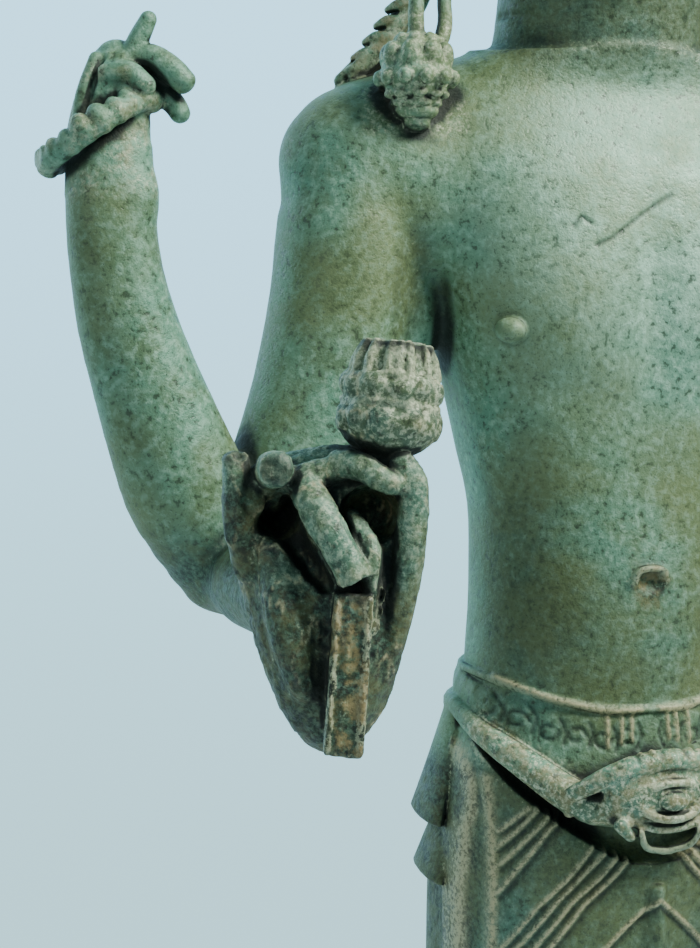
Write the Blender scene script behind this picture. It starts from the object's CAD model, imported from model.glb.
"""The guanyin statue as it looks: the cast form with its fine relief and patina, a floor, light and a camera.

Lengths in the shape part of this file are millimetres, as in the solid, and become metres at the end.
The figure faces -Y, so its own right side is at -X.
"""

from concurrent.futures import ThreadPoolExecutor
from math import cos, degrees, exp, hypot, pi, radians, sin

import bpy
import numpy as np
from mathutils import Matrix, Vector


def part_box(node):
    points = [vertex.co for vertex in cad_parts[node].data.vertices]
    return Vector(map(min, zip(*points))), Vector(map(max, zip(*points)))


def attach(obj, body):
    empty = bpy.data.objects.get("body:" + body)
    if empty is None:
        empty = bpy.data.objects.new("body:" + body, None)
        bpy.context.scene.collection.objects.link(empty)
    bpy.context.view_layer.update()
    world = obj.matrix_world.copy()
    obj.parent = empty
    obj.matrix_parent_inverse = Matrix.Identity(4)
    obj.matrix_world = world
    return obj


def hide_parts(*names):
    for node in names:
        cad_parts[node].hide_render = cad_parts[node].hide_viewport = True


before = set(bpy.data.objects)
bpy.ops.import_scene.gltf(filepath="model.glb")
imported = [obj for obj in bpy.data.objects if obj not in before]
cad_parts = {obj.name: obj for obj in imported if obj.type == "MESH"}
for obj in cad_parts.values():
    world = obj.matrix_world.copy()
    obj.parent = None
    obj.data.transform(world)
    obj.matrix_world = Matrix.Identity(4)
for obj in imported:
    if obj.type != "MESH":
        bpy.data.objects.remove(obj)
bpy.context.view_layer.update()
box_low, box_high = (np.array([float(v) for v in corner]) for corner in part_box("figure"))
HEIGHT = 520.0
MM = float(box_high[2] - box_low[2]) / HEIGHT

# Main measures, the same as the solid's
BASE = dict(half_width=60, half_depth=48, height=24, petals=16)
HEM, BELT, NAVEL, NIPPLE, SHOULDER, NECK, CHIN, BROW, CROWN = 38, 266, 294, 342, 375, 396, 412, 447, 476
SHOULDER_OUT = 52
ELBOW_OUT, ELBOW_HEIGHT = 78, 297
EAR_OUT = 26
PENDANT = dict(out=43.5, front=12, middle=388, radius=8.3, height=18.6)
RAISED_HAND = (-99.8, -8, 378.6)
FRONT_HAND = (-83.9, -84.3, 302.6)
HAND_TURN = -18
FRONT_HAND_TILT = -4.5

# How fine the surface is made, and how many triangles are kept of each region that regions() tells apart
FINE = 0.42
COARSE = 0.95
TRIANGLES = ((62000, 38000, 92000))
BLOCK = 24  # cells along a side of a block
FAR = 60.0  # the distance given where no shape is near
NEARBY = 8.0  # how far round a piece of a limb its distance is worked out
TINY = 1e-3  # keeps roots and quotients away from zero
UP = (0, 0, 1)


def bump(value, middle, width):
    return np.exp(-(((value - middle) / width) ** 2))


def step(value, start, end):
    """0 before start, 1 after end, and smooth between them."""
    t = np.clip((value - start) / (end - start), 0, 1)
    return t * t * (3 - 2 * t)


def mix(a, b, t):
    return a + (b - a) * t


def noise(points, size, seed=0):
    """Smooth noise from -1 to 1 with a grain of that size."""
    scaled = points / size
    base = np.floor(scaled).astype(np.int64)
    part = scaled - base
    part = part * part * (3 - 2 * part)
    total = np.zeros(len(points))
    for corner in np.ndindex(2, 2, 2):
        cell = base + np.array(corner)
        mixed = cell[:, 0] * 374761393 + cell[:, 1] * 668265263 + cell[:, 2] * 974634777 + seed * 362437
        mixed = (mixed ^ (mixed >> 13)) * 1274126177 & 0xFFFFFFFF
        value = ((mixed ^ (mixed >> 16)) & 0xFFFF) / 65535.0
        weight = np.where(np.array(corner) == 1, part, 1 - part).prod(axis=1)
        total += weight * value
    return 2 * total - 1


# Shapes. Each has a box it lies in and a function that gives the distance to its surface.


class Shape:
    def __init__(self, low, high, distance):
        self.low = np.array(low, float)
        self.high = np.array(high, float)
        self.distance = distance


def mirror(shape):
    sides = np.array([-1.0, 1.0, 1.0])

    def flipped(low, high):
        return np.minimum(low * sides, high * sides), np.maximum(low * sides, high * sides)

    def distance(x, y, z, cell):
        return shape.distance(-x, y, z, flipped(*cell))

    return Shape(*flipped(shape.low, shape.high), distance)


def axes(turn=0.0, tilt=0.0, lean=0.0):
    """The axes of a local frame as columns: turned about Z, then tilted about X, then leant about Y."""
    return np.array(
        Matrix.Rotation(radians(turn), 3, "Z")
        @ Matrix.Rotation(radians(tilt), 3, "X")
        @ Matrix.Rotation(radians(lean), 3, "Y")
    )


WORLD = (np.zeros(3), np.eye(3))
RAISED = (np.array(RAISED_HAND, float), axes(HAND_TURN))
FRONT = (np.array(FRONT_HAND, float), axes(HAND_TURN, FRONT_HAND_TILT))


def inner_frame(outer, middle, lean=0.0, turn=0.0):
    origin, turned = outer
    return (origin + turned @ np.array(middle, float), turned @ axes(turn, 0.0, lean))


def in_frame(place, x, y, z):
    """The same points by a local frame's own axes."""
    origin, turned = place
    dx, dy, dz = x - origin[0], y - origin[1], z - origin[2]
    return [dx * turned[0, k] + dy * turned[1, k] + dz * turned[2, k] for k in range(3)]


def smooth_rows(rows, steps, closed=False):
    """Rows of a table with smooth rows between them, as the solid's curves run."""
    rows = np.array(rows, float)
    if closed:
        padded = np.vstack([rows[-1:], rows, rows[:2]])
    else:
        padded = np.vstack([2 * rows[:1] - rows[1:2], rows, 2 * rows[-1:] - rows[-2:-1]])
    result = []
    for i in range(len(padded) - 3):
        a, b, c, d = padded[i : i + 4]
        tangent_b, tangent_c = 0.5 * (c - a), 0.5 * (d - b)
        for k in range(steps):
            t = k / steps
            result.append(
                (2 * t**3 - 3 * t**2 + 1) * b
                + (t**3 - 2 * t**2 + t) * tangent_b
                + (3 * t**2 - 2 * t**3) * c
                + (t**3 - t**2) * tangent_c
            )
    result.append(rows[0] if closed else rows[-1])
    return np.array(result)


def limb(stations, across=(1, 0, 0), ends=(1.0, 1.0), steps=3, place=WORLD, closed=False):
    """A limb through stations (x, y, z, half width, half depth), or with one radius for both.

    across is the direction of the width. ends is how far each end bulges, in half depths.
    """
    rows = [tuple(s) if len(s) == 5 else tuple(s) + (s[3],) for s in stations]
    rows = smooth_rows(rows, steps, closed)
    origin, turned = place
    points = rows[:, :3] @ turned.T + origin
    across = turned @ np.array(across, float)
    pieces = []
    for i in range(len(points) - 1):
        start, end = points[i], points[i + 1]
        length = np.linalg.norm(end - start)
        along = (end - start) / length
        deep = np.cross(along, across)
        deep /= np.linalg.norm(deep)
        wide = np.cross(deep, along)
        reach = rows[i : i + 2, 3:].max() * 1.05
        before = 1.0 if i or closed else max(ends[0], 0.05)
        after = 1.0 if i < len(points) - 2 or closed else max(ends[1], 0.05)
        low, high = np.minimum(start, end) - reach, np.maximum(start, end) + reach
        first, last = rows[i, 3:], rows[i + 1, 3:]
        pieces.append((low, high, start, length, along, wide, deep, first, last, before, after))

    lows = np.array([piece[0] for piece in pieces]) - NEARBY
    highs = np.array([piece[1] for piece in pieces]) + NEARBY

    def distance(x, y, z, cell):
        best = None
        close = np.flatnonzero(((lows <= cell[1]) & (highs >= cell[0])).all(axis=1))
        for start, length, along, wide, deep, first, last, before, after in (pieces[n][2:] for n in close):
            dx, dy, dz = x - start[0], y - start[1], z - start[2]
            run = dx * along[0] + dy * along[1] + dz * along[2]
            across_wide = dx * wide[0] + dy * wide[1] + dz * wide[2]
            across_deep = dx * deep[0] + dy * deep[1] + dz * deep[2]
            part = np.clip(run / length, 0, 1)
            beyond = run - part * length
            half_wide = first[0] + (last[0] - first[0]) * part
            half_deep = first[1] + (last[1] - first[1]) * part
            least = np.minimum(half_wide, half_deep)
            bulge = least * np.where(run < 0, before, after)
            reach = np.sqrt(across_wide**2 + across_deep**2 + beyond**2 + TINY)
            scale = (across_wide / half_wide) ** 2 + (across_deep / half_deep) ** 2 + (beyond / bulge) ** 2
            found = reach - reach / np.sqrt(scale + TINY / least**2)
            best = found if best is None else np.minimum(best, found)
        if best is None:
            return np.full(np.broadcast(x, y, z).shape, FAR)
        return best

    return Shape(lows.min(axis=0) + NEARBY, highs.max(axis=0) - NEARBY, distance)


def ball(middle, radii, place=WORLD, turn=0.0):
    """A ball with three half sizes."""
    own = inner_frame(place, middle, turn=turn)
    reach, least = max(radii), min(radii)

    def distance(x, y, z, cell):
        parts = in_frame(own, x, y, z)
        length = np.sqrt(parts[0] ** 2 + parts[1] ** 2 + parts[2] ** 2 + TINY)
        scale = np.sqrt(sum((p / r) ** 2 for p, r in zip(parts, radii)) + TINY / least**2)
        return length - length / scale

    return Shape(own[0] - reach, own[0] + reach, distance)


def block(middle, half, rounding, place=WORLD, lean=0.0):
    """A box with rounded edges."""
    half = np.array(half, float) - rounding
    own = inner_frame(place, middle, lean)
    reach = np.linalg.norm(half) + rounding

    def distance(x, y, z, cell):
        parts = [np.abs(p) - h for p, h in zip(in_frame(own, x, y, z), half)]
        outside = np.sqrt(sum(np.maximum(p, 0) ** 2 for p in parts))
        inside = np.minimum(np.maximum(np.maximum(parts[0], parts[1]), parts[2]), 0)
        return outside + inside - rounding

    return Shape(own[0] - reach, own[0] + reach, distance)


def turned_shape(profile, place=WORLD, lobes=None, squash=1.0):
    """A turned shape about its own Z from (height, radius) pairs. lobes(angle, height) scales the radius."""
    rows = smooth_rows(profile, 4)
    heights, radii = rows[:, 0], np.maximum(rows[:, 1], 0.01)
    order = np.argsort(heights, kind="stable")
    heights, radii = heights[order], radii[order]
    apart = heights + np.arange(len(heights)) * 1e-6
    slope = 1 / np.sqrt(1 + np.clip(np.gradient(radii, apart), -3, 3) ** 2)
    reach = max(radii.max() * 1.1, np.abs(heights).max())

    def distance(x, y, z, cell):
        own_x, own_y, own_z = in_frame(place, x, y, z)
        own_y = own_y / squash
        radius = np.interp(own_z, heights, radii)
        if lobes:
            radius = radius * lobes(np.arctan2(own_y, own_x), own_z)
        side = (np.sqrt(own_x**2 + own_y**2) - radius) * np.interp(own_z, heights, slope)
        return np.maximum(side, np.maximum(own_z - heights[-1], heights[0] - own_z))

    return Shape(place[0] - reach, place[0] + reach, distance)


def section_body(table, relief, shift=0.0):
    """A body by its level sections: height, half width, reach to the front, reach to the back, squareness.

    relief(x, y, z) is how far its surface stands out from them.
    """
    rows = smooth_rows(table, 8)
    heights, widths, fronts, backs, powers = rows.T
    low = (-widths.max() - 3, -fronts.max() - 3 + shift, heights[0])
    high = (widths.max() + 3, backs.max() + 3 + shift, heights[-1])

    def distance(x, y, z, cell):
        y = y - shift
        width = np.interp(z, heights, widths)
        reach = np.where(y < 0, np.interp(z, heights, fronts), np.interp(z, heights, backs))
        power = np.interp(z, heights, powers)
        scale = (np.abs(x) / width + TINY) ** power + (np.abs(y) / reach + TINY) ** power
        length = np.sqrt(x**2 + y**2 + 1e-2)
        found = length - length / scale ** (1 / power)
        found = found - relief(x, y, z) * np.minimum(np.abs(y) / reach, 1)
        return np.maximum(found, np.maximum(z - heights[-1], heights[0] - z))

    return Shape(low, high, distance)


# The whole figure is a list of shapes, each joined to or cut from what stands before it in the list

FIGURE = []


def add(shape, blend=1.0):
    FIGURE.append((shape, blend, False))


def cut(shape, blend=0.6):
    FIGURE.append((shape, blend, True))


def add_both(shape, blend=1.0):
    add(shape, blend)
    add(mirror(shape), blend)


REACH = {}


def measure_reach():
    blends = np.array([[blend + 3] for shape, blend, is_cut in FIGURE])
    REACH["low"] = np.array([shape.low for shape, blend, is_cut in FIGURE]) - blends
    REACH["high"] = np.array([shape.high for shape, blend, is_cut in FIGURE]) + blends


def distance_at(x, y, z, cell):
    result = np.full(np.broadcast(x, y, z).shape, FAR)
    close = np.flatnonzero(((REACH["low"] <= cell[1]) & (REACH["high"] >= cell[0])).all(axis=1))
    for shape, blend, is_cut in (FIGURE[n] for n in close):
        found = shape.distance(x, y, z, cell)
        sign = -1 if is_cut else 1
        before = result * sign
        near = np.maximum(blend - np.abs(before - found), 0) / blend
        result = (np.minimum(before, found) - near * near * blend / 4) * sign
    return result


def alike(radius, path):
    return [tuple(point) + (radius,) for point in path]


def swelling(radii, path):
    return [tuple(point) + (radius,) for point, radius in zip(path, radii)]


def flip(path):
    """The same path on the other side, from its other end."""
    return [(-point[0],) + tuple(point[1:]) for point in reversed(path)]


def around(count):
    return np.linspace(0, 2 * pi, count + 1)[:-1]


def ring_path(count, place_at):
    return [place_at(2 * pi * i / count) for i in range(count)]


def digit(place, radii, path, blend, ends=(1.0, 1.0)):
    add(limb(swelling(radii, path), ends=ends, place=place), blend)


# Trunk

TRUNK = [
    (254, 31, 24, 24, 2.1),
    (266, 28.4, 22.5, 21, 2.15),
    (280, 27.4, 22, 19, 2.2),
    (294, 27, 22.2, 18, 2.2),
    (308, 27.3, 21.5, 18.5, 2.25),
    (320, 29.8, 21.8, 20, 2.35),
    (332, 32.4, 23.2, 21.5, 2.45),
    (345, 35, 24.6, 22.8, 2.5),
    (358, 38.2, 24.2, 23.6, 2.5),
    (370, 42.6, 22, 23, 2.4),
    (380, 44.6, 18, 20.5, 2.3),
    (388, 38, 15, 17, 2.2),
    (395, 27, 15.5, 17.5, 2.1),
]


def trunk_relief(x, y, z):
    side = np.abs(x)
    chest = 1.6 * bump(side, 19, 12) * bump(z, NIPPLE + 3, 13)
    under_chest = 0.7 * bump(side, 17, 11) * bump(z, NIPPLE - 15 + 0.2 * side, 4)
    belly = 1.6 * bump(x, 0, 16) * bump(z, NAVEL - 12, 13)
    breastbone = 1.1 * bump(x, 0, 5) * bump(z, NIPPLE + 6, 22)
    in_front = chest + belly - breastbone - under_chest
    blades = 1.8 * bump(side, 21, 11) * bump(z, NIPPLE + 16, 14)
    spine = 2.2 * bump(x, 0, 5.5) * bump(z, NIPPLE - 20, 48)
    return np.where(y < 0, in_front, blades - spine)


def build_trunk():
    add(section_body(TRUNK, trunk_relief))
    half = [
        (-54, 2, SHOULDER - 1, 11.6),
        (-SHOULDER_OUT + 4, 2, SHOULDER + 1, 13.6),
        (-30, 3.5, SHOULDER + 5.6, 13.4),
        (-15, 4, SHOULDER + 8, 14),
    ]
    add(limb(half + flip(half), across=(0, 1, 0)), 3)
    neck = [
        (0, 4, 384, 22, 14),
        (0, 3, NECK - 2, 21.8, 17.5),
        (0, 1.5, 403, 21, 18.5),
        (0, 0, 418, 20, 20),
    ]
    add(limb(neck), 2.5)
    for height, reach in ((402.5, 21.2), (409.5, 20.8)):
        crease = [
            (reach * sin(a), 1.4 - reach * 0.93 * cos(a), height - 1.6 * cos(a), 0.55)
            for a in np.linspace(-1.7, 1.7, 13)
        ]
        cut(limb(crease, steps=1), 0.9)
    add_both(ball((-40.5, 2.5, NIPPLE + 5), (6.5, 9, 15)), 4)
    add_both(ball((-40, 0, SHOULDER - 7), (13, 13, 15)), 6)


def build_chest_details():
    crease = [(-45.6, -14.2, 365), (-43.8, -13.4, 357), (-42, -12.4, 348), (-39.6, -11, 338), (-38, -9, 329)]
    for path in (crease, flip(crease)[::-1]):
        cut(limb(swelling((0.5, 1.3, 2.0, 2.4, 2), path)), 2)
    add_both(ball((-27.6, -19.4, NIPPLE), (2.9, 2.5, 2.3), turn=-40), 0.9)
    cut(ball((0, -24.9, NAVEL), (3, 3, 2.2)), 1)
    lid = [(-3.8, -22.8, NAVEL), (-2.2, -23.6, NAVEL + 2.5)]
    add(limb(alike(0.6, lid + flip(lid))), 1.6)


# Skirt, sash, belt and clasp

SKIRT = [
    (HEM, 34.5, 23, 22, 2.6),
    (46, 32.8, 21.4, 20.6, 2.6),
    (70, 31, 19.8, 19.6, 2.5),
    (105, 31, 20.2, 21, 2.45),
    (150, 32.4, 22.4, 22, 2.4),
    (195, 32.8, 25, 24.5, 2.3),
    (222, 33, 26.6, 28, 2.2),
    (243, 33.2, 27, 28, 2.15),
    (258, 31.4, 25, 25, 2.1),
    (BELT + 2, 29, 23, 21.6, 2.1),
]


def skirt_relief(x, y, z):
    fade = step(205 - z, 0, 70)
    gap = -5.2 * fade * bump(x, 0, 8)
    side = np.abs(x)
    sag = (side - 17) ** 2 / 60
    folds = 0.55 * np.cos((z - sag) / 2.9) * bump(side, 17, 9) * step(215 - z, 0, 40) * step(z, 44, 60)
    back = 0.5 * np.cos(side / 2.1) * step(225 - z, 0, 60)
    return gap + np.where(y < 0, folds, back)


def build_skirt():
    add(section_body(SKIRT, skirt_relief))
    steps = [(236, 0.6, 25.5), (195, 2.4, 24.5), (140, 4.4, 22), (85, 6, 19.5), (41, 8, 22)]
    for side in (-1, 0, 1):
        proud = 0 if side else 0.9
        drop = 3 * abs(side)
        path = [
            (side * spread, -front - proud, z - (drop if z < 100 else 0), 1.4 + spread * 0.42, 2.6)
            for z, spread, front in steps
        ]
        add(limb(path, ends=(0.5, 0.3)), 0.7)
    for top, bottom, out in ((268, 245.4, 1.6), (252, 233.8, 1.2)):
        tier = [
            (-29.6, 3, top, 1.6, 3),
            (-31.6 - out * 0.3, 4.5, mix(top, bottom, 0.55), 2, 5.5),
            (-33 - out, 5.5, bottom, 2.2, 7.5),
        ]
        add_both(limb(tier, ends=(0.3, 0.5)), 0.6)
    tail = [
        (-30.8, 6, 236, 2.4, 7),
        (-30.8, 6, 205, 2.6, 7.5),
        (-30.2, 5, 160, 2.4, 6.5),
        (-29.4, 5, 118, 2.6, 7.5),
    ]
    add_both(limb(tail, ends=(0.3, 0.5)), 0.8)


def sash_at(a):
    front = max(0, -sin(a))
    lowest = sum(exp(-(((cos(a) + side) / 0.36) ** 2)) for side in (-0.42, 0.42))
    height = 268 - front * 17.2 * (0.62 + 0.38 * lowest)
    reach = 27.6 if front else 22
    return (30.2 * cos(a), reach * sin(a), height, 1.9 + 2.0 * front**1.5)


# The dark recess under the sash: how far to the front, height of its middle, half height
RECESS = [
    (0.15, 265.4, 0.6), (0.42, 259.8, 1.3), (0.61, 255.8, 1.9), (0.75, 253, 2.3),
    (0.83, 250.6, 2.5), (0.91, 247.6, 2.6), (0.966, 245.4, 3), (1, 243.9, 3.3),
]


def build_belt():
    fronts, middles, halves = zip(*RECESS)
    under = []
    for a in np.linspace(pi * 1.05, pi * 1.95, 29):
        x, y, _, _ = sash_at(a)
        front = -sin(a)
        half = float(np.interp(front, fronts, halves))
        under.append((x * 0.98, y, float(np.interp(front, fronts, middles)), half, 1.2 + 3.4 * front))
    cut(limb(under, across=UP, steps=1, ends=(0.6, 0.6)), 0.5)

    def belt_at(a):
        return (28 * cos(a), 21.6 * sin(a), BELT + 3 + 4.2 * sin(a), 5, 2)

    add(limb(ring_path(36, belt_at), across=UP, steps=1, closed=True), 0.8)

    def rim_at(a):
        front = max(0, -sin(a))
        return (28.2 * cos(a), 23 * sin(a), 275.2 - 5.6 * front**2, 0.75)

    add(limb(ring_path(48, rim_at), steps=1, closed=True), 0.5)
    add(limb(ring_path(60, sash_at), steps=1, closed=True), 0.4)
    for lift, thick in ((1.3, 0.55), (-1.5, 0.5)):
        edge = []
        for a in np.linspace(pi * 1.06, pi * 1.94, 31):
            x, y, z, r = sash_at(a)
            edge.append((x * 1.01, y * (1 + 0.85 * (r - 0.5) / 27.6), z + lift * r / 3.4, thick))
        add(limb(edge, steps=1), 0.3)
    build_clasp()


def build_clasp():
    """The knot of the sash: a cushion with two bands that cross over it, loops and short ends."""
    add(ball((0, -29.6, 255.6), (12.6, 4.4, 7.6)), 1.2)
    over = [(-17, -26.6, 255.4, 1.6), (-11, -30.4, 259.2, 2), (-4, -32.2, 261.6, 2.1)]
    add(limb(over + flip(over), across=UP), 0.5)
    for wide, tall, front, thick in ((10.6, 5.6, -32.2, 1.0), (6.6, 3.4, -34, 0.9)):
        rim = [
            (wide * cos(a), front + 1.6 * cos(a) ** 2, 254.4 + tall * sin(a), thick)
            for a in around(32)
        ]
        add(limb(rim, across=(0, 1, 0), steps=1, closed=True), 0.35)
    add(ball((0, -34, 254.4), (3, 1.8, 1.9)), 0.4)
    for side in (-1, 1):
        knob = [(9.6, -31.4, 249.8, 1.5), (8, -32, 247.8, 1.1)]
        cord = alike(0.7, [(6.2, -32.8, 248.6), (4.6, -31.8, 245.4), (0.5, -31, 244.2)])
        for path in (knob, cord):
            add(limb([(side * x, y, z, r) for x, y, z, r in path]), 0.4)


# Arms and hands


def build_arms():
    upper = [
        (-SHOULDER_OUT, 1.5, SHOULDER + 1, 11, 12),
        (-52.8, 1.2, 361, 13.4, 13.8),
        (-54, 1, 347, 13.8, 14),
        (-57.6, 0.6, 331, 13.6, 13.6),
        (-62.8, 0, 317, 12.8, 12.8),
        (-69.8, -0.6, 305, 11.4, 11.6),
        (-ELBOW_OUT + 2.5, -1, ELBOW_HEIGHT, 8.6, 10),
    ]
    raised = [
        (-ELBOW_OUT + 0.4, -2, ELBOW_HEIGHT, 9, 9.6),
        (-84.6, -4, 310.5, 11.6, 11.2),
        (-88.8, -5, 320, 11.1, 10.6),
        (-95.6, -6, 338.4, 9.4, 9.2),
        (-99, -7, 352, 8.4, 8.2),
        (-100.4, -8, 365.4, 8, 7.2),
        (-100, -8, 375, 6.8, 5.8),
    ]
    forward = [
        (-ELBOW_OUT + 3, 3, ELBOW_HEIGHT + 0.6, 8.2, 8.2),
        (-75, -17, 296.2, 9.2, 8.6),
        (-74.4, -37, 295.6, 8.4, 8.0),
        (-77.2, -58, 294, 7.2, 6.9),
        (-81.4, -78, 294, 6.4, 6.6),
    ]
    add_both(limb(upper, ends=(0.9, 0.75)), 2.5)
    add_both(limb(raised, ends=(0.8, 0.3)), 2)
    add_both(limb(forward, ends=(0.8, 0.3)), 2.5)


RAISED_PALM = [
    (-0.6, 0, -12, 7.6, 5.6),
    (-0.8, 0, -4, 7.6, 5),
    (-0.2, 0, 3, 6.9, 4.4),
    (0.6, 0, 9.5, 5.2, 3.8),
    (1, 0, 13, 3, 2.8),
]


def build_raised_right_hand():
    add(limb(RAISED_PALM, ends=(0.3, 0.5), place=RAISED), 1.5)
    add(ball((4.2, -1, -13), (3.8, 4.4, 6), RAISED), 2)
    fore = [(1.4, -1.4, 5), (3, -1.6, 10), (4.8, -1.6, 14.6), (6.7, -1.6, 18.4)]
    digit(RAISED, (2.3, 2.1, 1.95, 1.6), fore, 0.5)
    split = [(3.2, -3.6, 8.4), (4.6, -3.5, 11.6), (6.2, -3.3, 15.2)]
    cut(limb(alike(0.35, split), place=RAISED), 0.3)
    middle = [(4.2, -1.2, 11.4), (7.2, -1.8, 11.8), (10.6, -2.2, 9.6), (13.2, -2.2, 7.2)]
    digit(RAISED, (2.3, 2.35, 2.5, 2.2), middle, 0.4, (1, 0.75))
    digit(RAISED, (2.6, 2.3, 2.1, 1.9), [(6, 0.4, 8.6), (9, 0.8, 5.8), (11, 0.8, 3.8), (12, 0.6, 2.2)], 0.4)
    add(ball((3.4, -3.2, 6.2), (3.2, 2.4, 3.2), RAISED), 0.8)
    add(ball((7.2, -1, 4.6), (2.2, 2.4, 2.6), RAISED), 0.8)
    digit(RAISED, (2.2, 2.1, 1.9), [(-1, -3.6, 8.6), (3.4, -4.4, 8.8), (6.4, -4.4, 6.6)], 0.6)
    add(ball((5.4, -3.4, 4.2), (2.2, 2.2, 2), RAISED), 0.5)
    for index, shift in enumerate((-5.2, -2.9, -0.6)):
        ridge = [(shift - 0.6, -3.6 + index * 0.3, -2), (shift + 0.6, -4.0, 5), (shift + 2.6, -3, 11.5)]
        digit(RAISED, (1.2, 1.5, 1.2), ridge, 0.7)
    groove = [(-4.5, -5.2, -1), (-3.2, -5.2, 5.5), (-0.8, -4, 12.4)]
    cut(limb(swelling((0.5, 0.6, 0.5), groove), place=RAISED), 0.5)
    for index in range(3):
        back = [(-6.4 + index * 1.9, 3.8, -8), (-5.4 + index * 1.9, 4, 1), (-3 + index * 1.8, 3.6, 9)]
        cut(limb(alike(0.45, back), place=RAISED), 0.9)
    build_rosary(inner_frame(RAISED, (-3.2, 0, -1.2), lean=-34))


def build_rosary(place, beads=19):
    """A cord with uneven beads round the raised hand."""
    cord = [(10.2 * cos(a), 8.4 * sin(a), -0.3, 2.1) for a in around(24)]
    add(limb(cord, across=UP, steps=1, place=place, closed=True), 0.4)
    for index in range(beads):
        a = 2 * pi * index / beads
        radius = 2.3 + 0.3 * sin(index * 5.1)
        middle = (10.4 * cos(a), 8.6 * sin(a), 0.2 + 0.3 * sin(index * 2.3))
        add(ball(middle, (radius * 0.84, radius * 0.92, radius * 1.14), place), 0.3)


def build_raised_left_hand():
    def put(shape, blend):
        add(mirror(shape), blend)

    put(limb(RAISED_PALM, ends=(0.3, 0.5), place=RAISED), 1.5)
    lean = degrees(0.18)
    put(block((3, -5.2, 10.8), (5.5, 3, 12.5), 0.7, RAISED, lean=lean), 0.5)
    put(block((3, -5.2, 10.8), (6, 3.5, 1), 0.5, RAISED, lean=lean), 0.3)
    for index in range(4):
        z = 12 - index * 3.9
        path = [(-6, -1, z), (-7.4, -5, z), (-4.6, -8.6, z - 0.4), (-1, -9, z - 1)]
        put(limb(swelling((1.9, 2, 1.85, 1.6), path), place=RAISED), 0.5)
    put(limb(alike(2.1, [(5.6, -1, -3), (7.8, -4.4, 3), (5.4, -8, 7)]), place=RAISED), 0.6)


FRONT_PALM = [
    (1.4, 4.6, -20.4, 2.8, 3),
    (1, 3.4, -17, 6.2, 6),
    (1, 2.4, -11, 9.6, 8.2),
    (0.6, 2, -2, 12, 8.6),
    (0.4, 1.8, 7, 14.2, 8),
    (0.2, 1.6, 14, 14.8, 6.4),
    (-0.4, 1.6, 19.5, 13.4, 4),
]


def build_front_right_hand():
    def dent(middle, radii, blend):
        cut(ball(middle, radii, FRONT), blend)

    add(limb(FRONT_PALM, ends=(0.5, 0.4), steps=4, place=FRONT), 1.2)
    dent((-6.6, -12.6, -4), (5.4, 6.2, 12), 1.5)
    hollow = [
        (-8, -5.4, 14, 3.2, 4.6),
        (-6.2, -5, 10.6, 3.2, 4.2),
        (-3, -5.6, 6.6, 1.9, 3),
        (0.2, -6.6, 2.6, 1.2, 2),
    ]
    cut(limb(hollow, place=FRONT), 0.6)
    dent((-6.8, -4, 12.6), (3.3, 7, 4.2), 0.5)
    dent((6.8, -4.6, 12.8), (4.6, 7.6, 4.4), 0.5)
    little = [(-11, -1.2, 5), (-12.7, -2.8, 12), (-13.1, -3.4, 20.8)]
    digit(FRONT, (2.5, 2.3, 2.1), little, 0.6, (1, 0.7))
    dent((-12.4, -5, 22.2), (1.2, 1.6, 1.8), 0.4)
    web = [(-11, -2.4, 12.2), (-10.6, -2.8, 15), (-10.2, -2.6, 18)]
    digit(FRONT, (1.3, 1.9, 1.6), web, 0.7)
    ring = [(-8.6, 1.5, 15.4), (-7.8, -3.2, 19), (-6.9, -8.6, 19.4)]
    digit(FRONT, (2.9, 2.8, 2.6), ring, 0.6, (1, 0.55))
    dent((-6.6, -10.8, 19.5), (1.9, 1.3, 1.8), 0.4)
    knuckle = [(-5.4, -2.4, 17.6), (-2.6, -4.4, 18.2), (1.2, -4.6, 19.4), (3.8, -4.8, 20.4)]
    digit(FRONT, (1.9, 2.2, 2.1, 2), knuckle, 0.7)
    middle = [(-3, -4.6, 17.4), (-1, -7.6, 13.6), (2, -8.8, 8.4), (4.6, -9, 3.2)]
    digit(FRONT, (2.5, 2.65, 2.5, 2.55), middle, 0.6, (1, 0.08))
    dent((5, -9.2, 2.4), (1.8, 1.6, 1.5), 0.3)
    fore = [(2.4, -4.8, 20.2), (5.2, -6, 19.8), (8, -6.6, 18.2), (10, -6.4, 17.2)]
    digit(FRONT, (2.1, 2.1, 1.95, 1.7), fore, 0.5)
    thumb = [(7.4, 0, -12), (10.4, -2, -3), (12.2, -3.8, 6), (13, -4.6, 13)]
    thumb += [(12.8, -4.8, 17.4), (11.4, -4.9, 20.2)]
    digit(FRONT, (2.6, 2.5, 2.4, 2.3, 2.2, 2), thumb, 0.8)
    wedge = [(4, -4.6, 12.4), (5.4, -5.8, 9.6), (6.9, -6.6, 6), (7.3, -6.8, 1.5), (7, -6.2, -4)]
    digit(FRONT, (1.2, 1.9, 2.1, 1.7, 1), wedge, 0.6)
    slit = [
        (9.4, -8, 8.4, 0.9, 3),
        (8.4, -9, 2.8, 0.8, 3),
        (7.7, -9.2, -4, 0.75, 2.8),
        (7.2, -8.6, -11, 0.7, 2.4),
        (6.7, -7, -17, 0.6, 2),
    ]
    cut(limb(slit, place=FRONT), 0.35)
    heel = [(-7.6, -3.6, 7), (-6.4, -5, 1), (-5, -5.6, -6), (-3.2, -5, -12)]
    digit(FRONT, (2, 2.6, 2.6, 2), heel, 2.5)
    build_stem_end()
    build_bud()


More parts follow.
